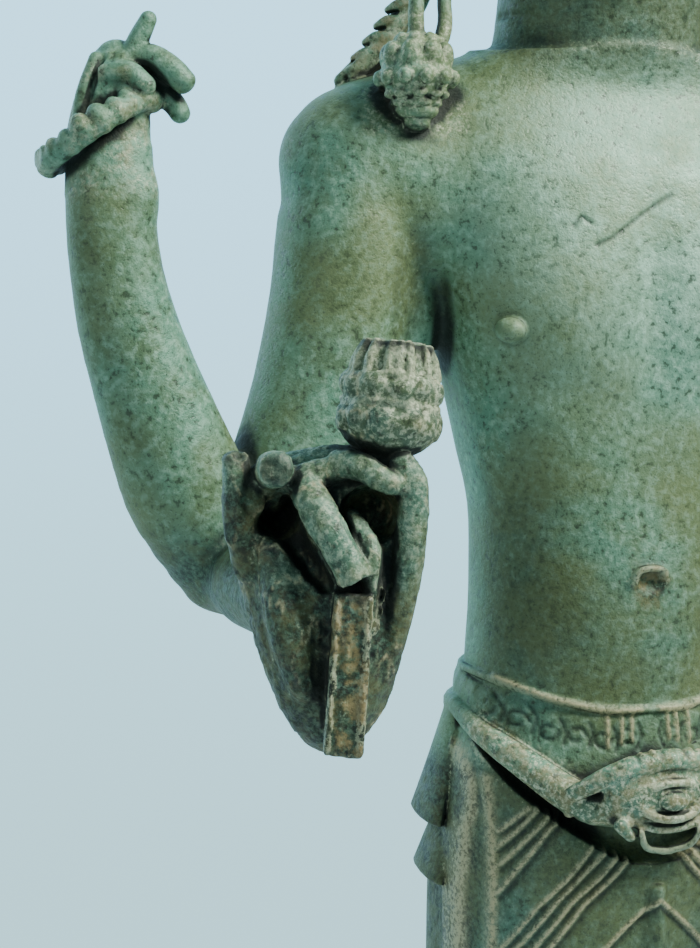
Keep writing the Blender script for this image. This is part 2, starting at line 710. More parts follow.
def build_stem_end():
    """The ribbed end of the stem that hangs down from the fingers."""
    add(block((3.5, -5.6, -10.4), (2.85, 4, 11.8), 0.45, FRONT, lean=4), 0.3)
    for shift, front in ((-2.3, -9.7), (2.3, -9.6), (-0.5, -9.5)):
        rib = [(3.5 + shift + 0.07 * z, front, -10.4 + z) for z in (-10.8, 0, 10.8)]
        add(limb(alike(0.42, rib), place=FRONT), 0.25)


def build_bud():
    """Two rings of petals round the bud, under a ribbed crown with a flat top."""
    place = inner_frame(FRONT, (8.6, -1.5, 20), lean=degrees(0.12))
    profile = [
        (-3, 1), (-2.4, 3.2), (0.8, 3.2), (1.8, 3.8), (2.8, 5.6), (4.2, 6.8), (6.2, 7.5), (8, 7.2),
        (9.1, 6.9), (10.4, 7.3), (11.8, 7.1), (12.9, 6.3), (14.6, 6.1), (16.8, 5.2), (18, 4.8), (18.3, 4.1),
    ]
    add(turned_shape(profile, place), 0.4)
    petals, ribs, lumps = 11, 17, 5
    for index in range(petals):
        a = 2 * pi * (index + 0.16 * sin(index * 2.3)) / petals
        low = (6.7 * cos(a), 6.7 * sin(a), 6.6 + 0.3 * sin(index * 3.7))
        add(ball(low, (1.5, 2.1 + 0.2 * sin(index * 5.3), 2.4), place, turn=degrees(a)), 0.3)
        b = 2 * pi * (index + 0.5 + 0.14 * sin(index * 4.1)) / petals
        high = (6.4 * cos(b), 6.4 * sin(b), 11.4 + 0.3 * sin(index * 2.9))
        add(ball(high, (1.6, 2.1, 1.9), place, turn=degrees(b)), 0.3)
    for z, r, thick in ((9.1, 7.1, 0.5), (13.1, 6.6, 0.45)):
        lip = [(r * cos(a), r * sin(a), z + 0.25 * sin(3 * a), thick) for a in around(36)]
        add(limb(lip, steps=1, place=place, closed=True), 0.3)
    for index in range(ribs):
        a = 2 * pi * (index + 0.3 * sin(index * 1.7)) / ribs
        outline = ((6.5, 13.2, 0.6), (5.9, 15.6, 0.75), (4.9, 17.9, 0.65))
        add(limb([(r * cos(a), r * sin(a), z, w) for r, z, w in outline], place=place), 0.2)
    cut(ball((0, 0, 19.4), (3.8, 3.8, 1.5), place), 0.4)
    for index in range(lumps):
        a = 1.2 + 1.26 * index
        lump = (2.9 * cos(a), 2.9 * sin(a), 17.9 + 0.2 * sin(index * 2.1))
        add(ball(lump, (1.2, 1, 0.7), place), 0.4)


def build_front_left_hand():
    def put(shape, blend):
        add(mirror(shape), blend)

    put(limb(FRONT_PALM, ends=(0.5, 0.4), steps=4, place=FRONT), 1.5)
    profile = [
        (-5.4, 3.6), (-5, 4.8), (-1.6, 7.6), (3, 8.6), (8, 7.2), (11.4, 3.6),
        (15.6, 2.6), (17.8, 4.6), (19.4, 4.4), (20.4, 2), (23.6, 2.4), (26, 0.6),
    ]
    put(turned_shape(profile, inner_frame(FRONT, (1.5, -9.5, 6))), 0.4)
    for index in range(4):
        z = 15.4 - index * 4.3
        reach = 1 - 0.08 * index
        path = [(-12, -1, z), (-12.4, -8, z), (-8, -15 * reach, z - 0.6), (-2, -19 * reach, z - 1.2)]
        put(limb(swelling((2.3, 2.3, 2.2, 1.8), path), place=FRONT), 0.6)
    put(limb(swelling((2.8, 2.5, 2), [(13, -1, 0), (14, -8, 8), (9.6, -13.6, 12.6)]), place=FRONT), 0.8)


# Head, ears and shoulder ornaments

SKULL = [
    (CHIN - 5, 15, 13, 15, 2),
    (CHIN, 12.5, 22, 17, 2),
    (CHIN + 4, 16.5, 25.4, 18, 2.05),
    (CHIN + 12, 20.8, 26, 21, 2.15),
    (CHIN + 22, 23.4, 25.4, 24, 2.2),
    (CHIN + 33, 24.8, 26, 27, 2.2),
    (CHIN + 45, 24.6, 25.4, 28, 2.15),
    (CHIN + 56, 20.8, 21.6, 25, 2.05),
    (CROWN, 12, 13, 15, 2),
]


def skull_relief(x, y, z):
    side = np.abs(x)
    sockets = 2.4 * bump(side, 9.5, 5) * bump(z, BROW - 6, 4.5)
    cheeks = 0.8 * bump(side, 13, 6) * bump(z, BROW - 17, 7)
    chin = 0.9 * bump(x, 0, 6) * bump(z, CHIN + 3, 4)
    return np.where(y < 0, cheeks + chin - sockets, 0)


def build_head():
    add(section_body(SKULL, skull_relief), 1.5)
    nose = [
        (0, -22.5, BROW - 1, 1.9, 2.4),
        (0, -25.6, BROW - 9, 2.3, 2.6),
        (0, -27, BROW - 15.4, 3.2, 3),
        (0, -25, BROW - 17.4, 2.8, 2),
    ]
    add(limb(nose, ends=(0.5, 0.3)), 1.6)
    add_both(ball((-3, -25.4, BROW - 16), (1.9, 2.2, 1.8)), 0.8)
    upper_lip = [(-6.4, -23.4, BROW - 23.6, 0.7), (-2, -26.2, BROW - 22.6, 1.4)]
    add(limb(upper_lip + [(0, -26.2, BROW - 23, 1.3)] + flip(upper_lip), across=UP), 0.7)
    lower_lip = [(-5, -24, BROW - 25.4, 0.8), (0, -25.8, BROW - 26.6, 1.8), (5, -24, BROW - 25.4, 0.8)]
    add(limb(lower_lip, across=UP), 0.6)
    add_both(ball((-9.6, -21.2, BROW - 6.6), (5.3, 3.2, 2.9)), 0.7)
    slit = [
        (-14.6, -21.6, BROW - 7.4),
        (-12, -24, BROW - 8.4),
        (-9, -24.8, BROW - 8.8),
        (-5.4, -23.8, BROW - 8.2),
    ]
    for path in (slit, flip(slit)[::-1]):
        cut(limb(alike(0.45, path)), 0.5)
    brow = [(-1.6, -24.6, BROW - 2, 0.7), (-9.6, -24, BROW + 1.4, 0.9), (-17.6, -18.2, BROW - 2.2, 0.6)]
    add_both(limb(brow, across=UP), 1)
    add_both(ball((-EAR_OUT + 0.4, 1.5, BROW - 8), (2.6, 6, 10.5)), 0.8)
    rim = [
        (-EAR_OUT - 1.4, -3.4, BROW - 12),
        (-EAR_OUT - 1.6, -3.6, BROW - 4),
        (-EAR_OUT - 1.6, 2, BROW + 1.2),
        (-EAR_OUT - 1.6, 6, BROW - 5),
        (-EAR_OUT - 1.2, 4, BROW - 14),
    ]
    add_both(limb(alike(1.1, rim)), 0.6)


def build_hair():
    level = [(z, w + 1.6, f + 0.6, b + 2, n) for z, w, f, b, n in SKULL[5:]]
    level[0] = (BROW - 2,) + level[0][1:]

    def hairline(x, y, z):
        strands = 0.25 * np.cos(np.arctan2(x, -y) * 26)
        below = step(BROW + 4.5 - z, 0, 1.5) * step(-y, 2, 12)
        return strands - 3.5 * below

    add(section_body(level, hairline, shift=1.0), 0.5)

    def band_at(a):
        return (24.6 * cos(a), 27 * sin(a) + 1, BROW + 10 - 3.4 * sin(a), 2.2, 1.6)

    add(limb(ring_path(28, band_at), across=UP, steps=1, closed=True), 0.4)
    profile = [
        (CROWN - 12, 13), (CROWN - 8, 14.5), (CROWN - 1, 15), (CROWN + 2, 13.4), (CROWN + 6, 15.4),
        (CROWN + 15, 16.6), (CROWN + 25, 15.6), (CROWN + 32, 12.6), (CROWN + 35, 12.8),
        (CROWN + 40, 10.4), (HEIGHT - 0.8, 5), (HEIGHT, 1),
    ]

    def flutes(angle, height):
        strand = 0.5 - 0.5 * np.cos(8 * angle)
        fine = 0.02 * np.cos(40 * angle)
        return 1 - (0.09 * strand + 0.5 * fine) * bump(height, CROWN + 16, 14)

    add(turned_shape(profile, (np.array([0, 2.0, 0]), np.eye(3)), flutes), 0.8)
    leaf = [
        (0, -17, CROWN - 6, 6, 2.4),
        (0, -17.6, CROWN + 6, 7.6, 2.6),
        (0, -16.6, CROWN + 16, 6, 2.4),
        (0, -14.6, CROWN + 24, 1.6, 1.8),
    ]
    add(limb(leaf, ends=(0.4, 0.5)), 0.5)
    add(ball((0, -19.6, CROWN + 5), (2.4, 1.8, 3.4)), 0.4)


def build_ornaments():
    out, front, middle, radius, height = (PENDANT[k] for k in ("out", "front", "middle", "radius", "height"))
    outer = [
        (-EAR_OUT - 0.6, 4, BROW - 14, 1.9),
        (-34, 0, 422, 1.8),
        (-41, -7, 411, 1.6),
        (-43, -10.6, 404, 1.5),
        (-out, -front + 0.4, 399, 1.5),
        (-out, -front, 395, 1.5),
    ]
    inner = [
        (-EAR_OUT + 0.4, -1.4, BROW - 14, 1.6),
        (-29.5, -4, 424, 1.5),
        (-35.4, -8, 412, 1.4),
        (-37.2, -9.6, 404, 1.35),
        (-37.3, -10.4, 399.5, 1.35),
        (-38.2, -11, 396, 1.4),
        (-40.5, -front, 392.5, 1.4),
    ]
    add_both(limb(outer), 0.6)
    add_both(limb(inner), 0.6)
    profile = [
        (-0.5, 0.12), (-0.47, 0.26), (-0.42, 0.3), (-0.385, 0.32), (-0.35, 0.44), (-0.3, 0.5), (-0.25, 0.46),
        (-0.235, 0.54), (-0.2, 0.58), (-0.17, 0.55), (-0.14, 0.66), (-0.1, 0.7), (-0.06, 0.74), (0.02, 0.84),
        (0.1, 0.8), (0.22, 0.7), (0.32, 0.58), (0.39, 0.42), (0.44, 0.3), (0.49, 0.14),
    ]
    place = (np.array([-out, -front, middle], float), np.eye(3))
    add_both(turned_shape([(z * height, r * radius) for z, r in profile], place), 0.3)

    def round_about(count, turn, reach, rise, radii):
        for index in range(count):
            a = 2 * pi * (index + turn) / count
            middle_of = (-out + reach * cos(a), -front + reach * sin(a), middle + rise)
            add_both(ball(middle_of, radii, turn=degrees(a)), 0.25)

    round_about(8, 0.3, 5.3, 4.2, (1.7, 1.9, 2.7))
    round_about(7, 0.8, 3.2, 6.9, (1.3, 1.4, 1.7))
    round_about(11, 0.1, 6.9, 0.2, (1.3, 1.4, 1.6))
    round_about(9, 0.4, 5.2, -2.6, (1.0, 1.5, 0.9))
    round_about(9, 0.9, 4.1, -4.3, (0.9, 1.3, 0.7))
    build_shoulder_locks()


def build_shoulder_locks():
    """Locks that fall behind the ears and spread over the shoulders, with a saw edge of short curls."""
    lock = [
        (-23, 10, 436, 3.4, 3),
        (-30, 9.5, 420, 3, 2.6),
        (-36.6, 8, 406, 2.8, 2.2),
        (-44, 6.4, 395.5, 3.2, 2),
        (-53, 4, 388.9, 1.8, 1.4),
    ]
    add_both(limb(lock, across=UP), 0.6)
    for index in range(8):
        t = index / 7
        root = (mix(-31.6, -48.6, t), mix(6.4, 3.4, t), mix(414, 391.4, t), 1.2)
        tip = (root[0] - 4.4, root[1] + 0.2, root[2] - 1.2, 0.8)
        bend = (root[0] - 2.4, root[1] - 0.6, root[2] - 0.1, 1.15)
        add_both(limb([root, bend, tip], ends=(0.5, 0.8)), 0.25)
    for shift in (-1.5, 0.2, 1.9):
        strand = [
            (x, y - 2.3, z + shift * (0.6 if z > 400 else 0.9), 0.75)
            for x, y, z in ((-31, 9, 418), (-37.4, 7.4, 406), (-43.8, 6.2, 397), (-51.6, 4.4, 389.6))
        ]
        add_both(limb(strand), 0.35)


# Feet and base


def build_feet():
    ground = BASE["height"]
    for index in range(5):
        toe = [
            (-9.5 - index * 4.3, -24 + index * 1.6, ground + 3.6, 2.6 - index * 0.16, 2.7),
            (-9.3 - index * 4.6, -33.4 + index * 2, ground + 2.4, 2.3 - index * 0.14, 2.2),
        ]
        add_both(limb(toe, ends=(1, 0.8)), 0.7)
    sole = [
        (-15.5, 14, ground + 5, 8, 6.4),
        (-15.8, 4, ground + 7, 9, 8.4),
        (-16.6, -8, ground + 5.4, 10, 6.8),
        (-17.6, -20, ground + 3, 11, 4.6),
        (-17.8, -27, ground + 2.2, 10.2, 3.2),
    ]
    add_both(limb(sole, ends=(0.6, 0.4)), 1.2)
    add_both(limb([(-15.5, 5, ground + 3, 9, 9.6), (-15.5, 5, HEM + 4, 10, 10)], ends=(0.3, 0.3)), 2)


def build_base():
    wide, deep, tall, petals = BASE["half_width"], BASE["half_depth"], BASE["height"], BASE["petals"]

    def lobes(angle, height):
        petal = np.abs(np.sin(petals / 2 * angle)) ** 0.7
        return 1 - 0.045 * (1 - petal) * bump(height, tall * 0.5, tall * 0.17)

    profile = [
        (0, 1), (0.02, 1), (0.24, 1), (0.3, 0.985), (0.36, 0.95),
        (0.47, 0.985), (0.58, 0.985), (0.84, 0.9), (0.86, 0.9), (1, 0.9),
    ]
    rows = [(z * tall, r * wide) for z, r in profile]
    add(turned_shape(rows, lobes=lobes, squash=deep / wide), 0.6)


def build_figure():
    for build in (
        build_trunk, build_skirt, build_belt, build_arms, build_chest_details, build_raised_right_hand,
        build_raised_left_hand, build_front_right_hand, build_front_left_hand, build_head, build_hair,
        build_ornaments, build_feet, build_base,
    ):
        build()
    measure_reach()


# The surface of the figure


def grid_line(low, high, spacing):
    line = [low]
    while line[-1] < high:
        line.append(line[-1] + spacing(line[-1]))
    while (len(line) - 1) % BLOCK:
        line.append(line[-1] + spacing(line[-1]))
    return np.array(line)


def grid_lines():
    """The lines of the grid: fine where the photograph shows the figure, coarse elsewhere."""
    margin = 2
    low, high = box_low / MM - margin, box_high / MM + margin

    def upright(v):
        return COARSE + (FINE - COARSE) * float(step(v, 212, 226) * step(-v, -424, -412))

    x = grid_line(low[0], high[0], lambda v: mix(FINE, COARSE, float(step(v, 4, 14))))
    y = grid_line(low[1], high[1], lambda v: mix(FINE, COARSE, float(step(v, 10, 22))))
    return x, y, grid_line(low[2], high[2], upright)


CORNERS = [np.array(c) for c in np.ndindex(2, 2, 2)]
EDGES = [(a, axis) for a in range(8) for axis in range(3) if CORNERS[a][axis] == 0]


def near_blocks(lines):
    """The blocks that the surface runs through, from a coarse look at every block."""
    stride = 4
    coarse = [line[::stride] for line in lines]
    size = BLOCK // stride
    counts = [(len(line) - 1) // size for line in coarse]

    def look(index):
        i, j, k = (n * size for n in index)
        x = coarse[0][i : i + size + 1][:, None, None]
        y = coarse[1][j : j + size + 1][None, :, None]
        z = coarse[2][k : k + size + 1][None, None, :]
        cell = (np.array([x.min(), y.min(), z.min()]), np.array([x.max(), y.max(), z.max()]))
        d = distance_at(x, y, z, cell)
        widest = max(np.diff(x[:, 0, 0]).max(), np.diff(y[0, :, 0]).max(), np.diff(z[0, 0, :]).max())
        if np.abs(d).min() < 1.4 * widest + 1.5 or (d < 0).any() != (d < 0).all():
            return index
        return None

    with ThreadPoolExecutor() as pool:
        return [index for index in pool.map(look, np.ndindex(*counts)) if index is not None]


def mesh_block(lines, index):
    """Surface points and faces of one block: one point in each cell that the surface crosses."""
    i, j, k = (n * BLOCK for n in index)
    x, y, z = (line[s : s + BLOCK + 1] for line, s in zip(lines, (i, j, k)))
    cell = (np.array([x[0], y[0], z[0]]), np.array([x[-1], y[-1], z[-1]]))
    d = distance_at(x[:, None, None], y[None, :, None], z[None, None, :], cell)
    inside = d < 0
    if inside.all() or not inside.any():
        return None
    count = sum(inside[u : u + BLOCK, v : v + BLOCK, w : w + BLOCK].astype(np.int8) for u, v, w in CORNERS)
    cells = np.argwhere((count > 0) & (count < 8))
    total = np.zeros((len(cells), 3))
    hits = np.zeros(len(cells))
    for corner, axis in EDGES:
        start = cells + CORNERS[corner]
        end = start.copy()
        end[:, axis] += 1
        first, last = d[tuple(start.T)], d[tuple(end.T)]
        crossing = (first < 0) != (last < 0)
        share = first[crossing] / (first[crossing] - last[crossing])
        point = start[crossing].astype(float)
        point[:, axis] += share
        total[crossing] += point
        hits[crossing] += 1
    local = total / hits[:, None]
    steps = np.arange(BLOCK + 1)
    points = np.stack([np.interp(local[:, n], steps, line) for n, line in enumerate((x, y, z))], axis=1)
    sizes = [len(line) for line in lines]
    offset = np.array([i, j, k])

    def key(c):
        return (c[:, 0] * sizes[1] + c[:, 1]) * sizes[2] + c[:, 2]

    faces = []
    for axis in range(3):
        lower = inside[:BLOCK, :BLOCK, :BLOCK]
        upper = np.roll(inside, -1, axis)[:BLOCK, :BLOCK, :BLOCK]
        start = np.argwhere(lower != upper)
        outward = lower[tuple(start.T)]
        u, v = (axis + 1) % 3, (axis + 2) % 3
        ring = []
        for du, dv in ((0, 0), (-1, 0), (-1, -1), (0, -1)):
            c = start + offset
            c[:, u] += du
            c[:, v] += dv
            ring.append(key(c))
        ring = np.stack(ring, axis=1)
        faces.append(np.where(outward[:, None], ring, ring[:, ::-1]))
    return key(cells + offset), points, np.concatenate(faces)


def surface():
    """Points and four-sided faces of the whole figure, in millimetres."""
    lines = grid_lines()
    with ThreadPoolExecutor() as pool:
        blocks = [b for b in pool.map(lambda index: mesh_block(lines, index), near_blocks(lines)) if b]
    keys = np.concatenate([b[0] for b in blocks])
    points = np.concatenate([b[1] for b in blocks])
    faces = np.concatenate([b[2] for b in blocks])
    order = np.argsort(keys)
    keys, points = keys[order], points[order]
    found = np.searchsorted(keys, faces)
    found = np.minimum(found, len(keys) - 1)
    whole = (keys[found] == faces).all(axis=1)
    print("surface:", len(points), "points,", len(faces), "faces,", int((~whole).sum()), "left out")
    return points, found[whole]


def point_normals(points, faces):
    a, b, c, d = (points[faces[:, k]] for k in range(4))
    across = np.cross(c - a, d - b)
    normals = np.zeros_like(points)
    for k in range(4):
        for n in range(3):
            normals[:, n] += np.bincount(faces[:, k], across[:, n], len(points))
    return normals / (np.linalg.norm(normals, axis=1)[:, None] + 1e-12)


# Fine relief, as a rise along the surface's own direction


def line_distance(u, v, path):
    """Distance to a line of straight pieces in a plane, and which side of it a point is on."""
    best = np.full(len(u), FAR)
    side = np.zeros(len(u))
    for (u0, v0), (u1, v1) in zip(path, path[1:]):
        du, dv = u1 - u0, v1 - v0
        length = hypot(du, dv)
        t = np.clip(((u - u0) * du + (v - v0) * dv) / length**2, 0, 1)
        away = np.hypot(u - u0 - t * du, v - v0 - t * dv)
        turn = ((u - u0) * dv - (v - v0) * du) / length
        nearer = away < best
        best = np.where(nearer, away, best)
        side = np.where(nearer, turn, side)
    return best, side


# Lines of the pleats, seen from the front: distance out from the middle, height
PLEATS = [
    [(-27.9, 246.3), (-26.0, 248.4), (-23.0, 251.4)],
    [(-28.5, 242.9), (-25.7, 246.2), (-21.6, 251.4)],
    [(-28.3, 239.4), (-23.8, 245.3), (-19.4, 250.6)],
    [(-28.5, 233.9), (-25.1, 239.8), (-20.4, 247.1), (-17.2, 250.6)],
    [(-28.3, 222.4), (-22.2, 232.4), (-16.5, 239), (-12.6, 244.4)],
    [(-27.6, 220.6), (-18.8, 233.8), (-14.2, 239.3), (-10, 243.6)],
    [(-26.6, 218.6), (-16.1, 233.9), (-11.4, 238.4), (-7.6, 242.8)],
    [(-25.4, 216.8), (-14.1, 233.3), (-8.4, 238.9), (-5.8, 241.9)],
    [(-12.2, 222.4), (-8.5, 226.4), (-5.7, 229.2), (0, 234)],
]
FRINGE = [[(-8.4, 269.2), (-8.7, 263)], [(-5.6, 269.2), (-6, 263.6)], [(-3.6, 269.2), (-4, 264)]]
HIP_RIMS = [
    [(-28.8, 256), (-28.8, 243.4), (-28.7, 200)],
    [(-31.4, 261.2), (-30.7, 255), (-31.1, 249), (-32, 245.4), (-32.6, 233), (-32.3, 205)],
]
BELT_RIM = [[(-26, 275), (-24.2, 274.2), (-18.8, 272), (-12.5, 270.4), (-8.6, 269.4), (-2, 269.8)]]
SASH_LINE = [
    (-31, 267), (-29.5, 264.6), (-27.4, 262.6), (-23.9, 259.6),
    (-20, 256.9), (-16.7, 254.6), (-12, 252.6), (0, 253.4),
]
SCRATCHES = [
    [(-12.3, 357.7), (-9.2, 359.0), (-6.4, 360.9), (0.3, 365.3), (4, 367.4)],
    [(-16.6, 361.2), (-14.8, 363.0), (-13.3, 361.9)],
]


def scrolls():
    """The engraved leaf scrolls of the skirt's upper border, as rows of small open curves."""
    curves = []
    for index in range(6):
        u = -28.4 + index * 4.7
        v = float(np.interp(u, (-28, -24, -20, -15, -10, -3), (269.4, 267.6, 266, 265, 264.4, 264.6)))
        turn = 1 if index % 2 else -1
        curl = []
        for a in np.linspace(0, 5.2, 11):
            radius = 1.9 * (1 - 0.1 * a)
            curl.append((u + radius * cos(a), v + turn * radius * sin(a)))
        curves.append(curl)
        curves.append([(u + 2.2, v - 2.2 * turn), (u + 3.1, v + 0.5 * turn), (u + 2.5, v + 2.4 * turn)])
    return curves


def drawn_lines(points):
    """How far each point is on a raised line of the cloth, and in an engraved or scratched one."""
    x, y, z = points.T
    ridge, groove = np.zeros(len(points)), np.zeros(len(points))

    def draw(values, near, across, paths, width):
        for path in paths:
            away, _ = line_distance(across[near], z[near], path)
            values[near] = np.maximum(values[near], np.exp(-((away / width) ** 2)))

    side = -np.abs(x)
    cloth = np.flatnonzero((y < -3) & (z > 195) & (z < 256) & (side > -36))
    draw(ridge, cloth, side, PLEATS, 0.42)
    draw(groove, cloth, side, [[(u + 0.9, v - 0.6) for u, v in path] for path in PLEATS], 0.55)
    rims = np.flatnonzero((y < 0) & (z > 195) & (z < 263) & (side > -36))
    draw(ridge, rims, side, HIP_RIMS, 0.75)
    border = np.flatnonzero((y < -8) & (z > 255) & (z < 276) & (side > -36))
    draw(groove, border, side, scrolls(), 0.42)
    draw(ridge, border, side, FRINGE, 0.45)
    draw(ridge, border, side, BELT_RIM, 0.6)
    chest = np.flatnonzero((y < -10) & (z > 350) & (z < 372) & (side > -20))
    draw(groove, chest, x, SCRATCHES, 0.4)
    return ridge, np.clip(groove - ridge, 0, 1)


def by_front_hand(points):
    """The points by the front right hand's own axes."""
    return (points - FRONT[0]) @ FRONT[1]


def crust(points):
    """Ribs of lime that run down the fingers and the palm, and the pits between them."""
    own = by_front_hand(points)
    ribs = (1 - np.abs(noise(own / np.array([1.0, 1.0, 3.6]), 1.4, 11))) ** 4
    pits = step(noise(points, 1.2, 6) + 0.5 * noise(points, 5, 7), 0.45, 1.0)
    return ribs, pits


def near_front_hand(points):
    x, y, _ = points.T
    return step(-y, 60, 68) * step(-x, 50, 58)


def fine_relief(points):
    rise = 0.10 * noise(points, 9, 1)
    seen = np.flatnonzero(regions(points) > 0)
    rise[seen] += 0.05 * noise(points[seen], 3.4, 2)
    ridge, groove = drawn_lines(points)
    rise += 0.42 * ridge - 0.34 * groove
    hand = np.flatnonzero(near_front_hand(points) > 0)
    share = near_front_hand(points[hand])
    ribs, pits = crust(points[hand])
    rise[hand] += share * (0.2 * (ribs - 0.3) - 0.26 * pits + 0.07 * noise(points[hand], 1.1, 5))
    return rise


# What the patina follows: how deep a place lies, and how warm, dark or pale it is


def depth_and_edge(points, normals):
    """How deep in a fold each point is, from 0 in the open to 1, and how sharp an edge it is on."""
    hollow = np.zeros(len(points))
    edge = np.zeros(len(points))
    patch = 18  # points are looked at in cubes of this size
    cells = np.floor(points / patch).astype(int)
    order = np.lexsort(cells.T)
    breaks = np.flatnonzero(np.any(np.diff(cells[order], axis=0), axis=1)) + 1

    reaches = np.array([1.0, 2.5, 6.0, -1.2])[:, None]
    weights = np.array([0.3, 0.35, 0.35])[:, None]

    def look(group):
        q = points[group] + normals[group] * reaches[:, :, None]
        x, y, z = np.moveaxis(q, 2, 0)
        cell = (q.min(axis=(0, 1)), q.max(axis=(0, 1)))
        covered = np.clip(1 - distance_at(x, y, z, cell) / reaches, 0, 1)
        return group, (weights * covered[:3]).sum(axis=0), covered[3]

    with ThreadPoolExecutor() as pool:
        for group, fold, rim in pool.map(look, np.split(order, breaks)):
            hollow[group] = fold
            edge[group] = rim
    return hollow, edge


def near_point(own, middle, radius):
    away = np.linalg.norm(own - np.array(middle), axis=1)
    return step(away, radius, radius * 0.6)


def tones(points):
    """Where the patina is warm, dark or pale, and where the chest is."""
    x, y, z = points.T
    out = np.abs(x)
    own = by_front_hand(points)
    across, forward, up = own[:, 0], -own[:, 1], own[:, 2]
    by_hand = step(-y, 58, 70) * step(-x, 50, 58)
    front_hand = by_hand * step(up, 22.6, 21.6)
    bud = by_hand * step(up, 21.6, 22.6)
    fingers = step(forward, 5.2, 7.6) * step(up, 1.5, 3.5) + 0.55 * step(across, 9.6, 11.4) * step(up, -6, 6)
    fingers = np.clip(fingers + step(up, 15, 18), 0, 1)
    from_stem = np.abs(across - 3.6 + 0.07 * (up + 10.4))
    stem = by_hand * step(3.2 - from_stem, 0, 0.8) * step(forward, 7.6, 8.6) * step(-up, -1, 1)
    away, _ = line_distance(-out, z, SASH_LINE)
    sash = step(away, 4.2, 3) * step(-y, 4, 10)
    sash = np.clip(sash + step(-y, 28.6, 30) * step(z, 246, 249) * step(z, 266, 263), 0, 1)
    flank = bump(z, 306, 26) * bump(x, -27, 12) * step(-y, 0, 8)
    cloth = step(z, 262, 255) * step(z, 20, 40)
    hip = cloth * step(-x, 29, 32)
    from_pendant = np.hypot(out - PENDANT["out"], y + PENDANT["front"])
    jewel = step(from_pendant, 11, 9) * step(z, 377, 379) * step(z, 404, 398)
    lock = step(-x - 26, 0, 6) * step(y, 0.5, 3) * step(z, 384, 387)
    lock = lock * step(-z, -430, -416) * step(x, -62, -58)
    arm = step(out, 46, 54) * step(60 + y, 0, 8) * step(z, 280, 284)
    elbow = step(out, 56, 64) * step(z, 309, 298) * (1 - by_hand)
    belly = bump(z, 283, 26) * step(38 - out, 0, 8) * step(-y, 0, 10)
    chest = bump(z, 362, 30) * bump(x, 4, 34) * step(-y, 8, 16)
    navel = near_point(points, (0, -24, NAVEL), 4.4)
    neck = step(z, 386, 396) * step(out, 27, 22)
    tall = 2.6
    under_arm = near_point(points / np.array([1, 1, tall]), (-43, -11, 347 / tall), 7)
    uneven = step(noise(points, 4, 21), -0.3, 0.3)
    rosary = step(-x, 88, 92) * step(z, 364, 368) * step(z, 391, 387) * uneven
    warm = 0.6 * stem + 0.5 * sash + 0.6 * lock + 0.12 * front_hand * (1 - fingers)
    warm = warm + 0.3 * rosary + 0.5 * navel
    dark = front_hand * (1 - 0.5 * fingers) + 0.1 * arm + 0.8 * elbow + 0.5 * belly + 0.6 * cloth + 0.4 * hip
    dark += 0.65 * bud + 0.8 * navel + 0.7 * neck + 0.5 * under_arm + 0.4 * flank - 0.3 * sash
    pale = 0.5 * bud + 0.8 * sash + 0.3 * front_hand * fingers + 0.4 * rosary + 0.5 * lock + 0.5 * jewel
    return warm, dark, pale, chest


# The broken ends of the front hand's fingers: middle by the hand's own axes, and radius
BROKEN = [((5.2, -9.2, 1.9), 2.7), ((-6.4, -10.4, 19.3), 3.4), ((-13, -4.2, 21.8), 2.8)]


def line_values(points):
    """The raised lines and the sunk ones, with the lime ribs and the pits of the front hand."""
    ridge, groove = drawn_lines(points)
    hand = np.flatnonzero(near_front_hand(points) > 0)
    ribs, pits = crust(points[hand])
    share = near_front_hand(points[hand])
    uneven = step(noise(points[hand], 4, 12), -0.3, 0.5)
    ridge[hand] = np.maximum(ridge[hand], share * step(ribs, 0.6, 1.0) * uneven)
    groove[hand] = np.maximum(groove[hand], share * 0.7 * pits)
    own = by_front_hand(points)
    for middle, radius in BROKEN:
        groove = np.maximum(groove, near_point(own, middle, radius))
    return ridge, groove


def build_mesh():
    build_figure()
    points, faces = surface()
    normals = point_normals(points, faces)
    points = points + normals * fine_relief(points)[:, None]
    inset, above_floor = 0.02, 0.03
    points = np.clip(points, box_low / MM + inset, box_high / MM - inset)
    points[:, 2] = np.maximum(points[:, 2], above_floor)
    mesh = bpy.data.meshes.new("figure_cast")
    mesh.vertices.add(len(points))
    mesh.vertices.foreach_set("co", points.astype(np.float32).ravel())
    mesh.loops.add(faces.size)
    mesh.loops.foreach_set("vertex_index", faces.astype(np.int32).ravel())
    mesh.polygons.add(len(faces))
    mesh.polygons.foreach_set("loop_start", np.arange(0, faces.size, 4, dtype=np.int32))
    mesh.update(calc_edges=True)
    piece = bpy.data.objects.new("figure_cast", mesh)
    bpy.context.scene.collection.objects.link(piece)
    thin_out(piece, points, faces)
    return piece


def regions(points):
    """0 for the sides that are seldom seen, 1 for the plain front that is seen, 2 for its fine work."""
    x, y, z = points.T
    front = (x < 3) & (y < 4) & (z > 224) & (z < 416)
    back_of_arms = (x < -44) & (y < 8) & (z > 280) & (z < 402)
    hand = (x < -55) & (y < -60)
    upper_hand = (x < -86) & (z > 362) & (z < 402)
    ornament = (x < -30) & (x > -60) & (z > 378) & (z < 416) & (y < 8)
    cloth = (x < 3) & (y < -3) & (z > 222) & (z < 276)
    return np.where(hand | upper_hand | ornament | cloth, 2, np.where(front | back_of_arms, 1, 0))


